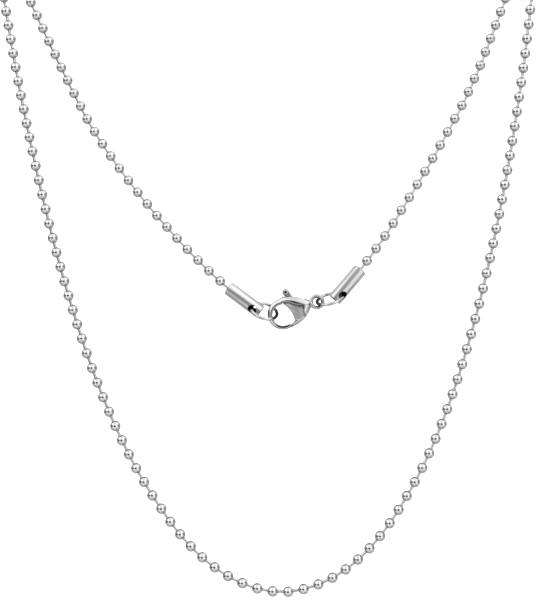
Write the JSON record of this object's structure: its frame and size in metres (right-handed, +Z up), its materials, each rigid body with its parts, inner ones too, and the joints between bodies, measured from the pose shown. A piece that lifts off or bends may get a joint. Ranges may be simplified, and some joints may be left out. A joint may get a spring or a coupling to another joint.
{
  "type": "ball chain necklace",
  "caption": "Closed ball chain necklace in polished steel, end tubes and jump rings joined by a lever clasp, hanging in its worn form.",
  "frame": {"origin": "middle of the straight rest over which the loop hangs, on the rest's axis", "axes": "X along the rest, Z up, the long front strand on the -Y side, the clasp on the +Y side"},
  "size_m": [0.128, 0.0144, 0.159],
  "materials": {
    "chain": "polished stainless steel",
    "fittings": "polished stainless steel",
    "gate": "brushed stainless steel"
  },
  "bodies": {
    "necklace": {"chain_left": "chain", "chain_right": "chain", "end_tube_left": "fittings", "end_tube_right": "fittings", "jump_ring_left": "fittings", "jump_ring_right": "fittings", "clasp_body": "fittings", "clasp_pin": "fittings"},
    "lever": {"clasp_lever": "gate"}
  },
  "joints": [
    {"name": "clasp_lever", "type": "hinge", "parent": "necklace", "child": "lever", "pos_m": [0.00675, 0.0052, -0.08837], "axis": [0, 1, 0], "range_deg": [0, 25], "stiffness_Nm_per_rad": 0.002}
  ]
}
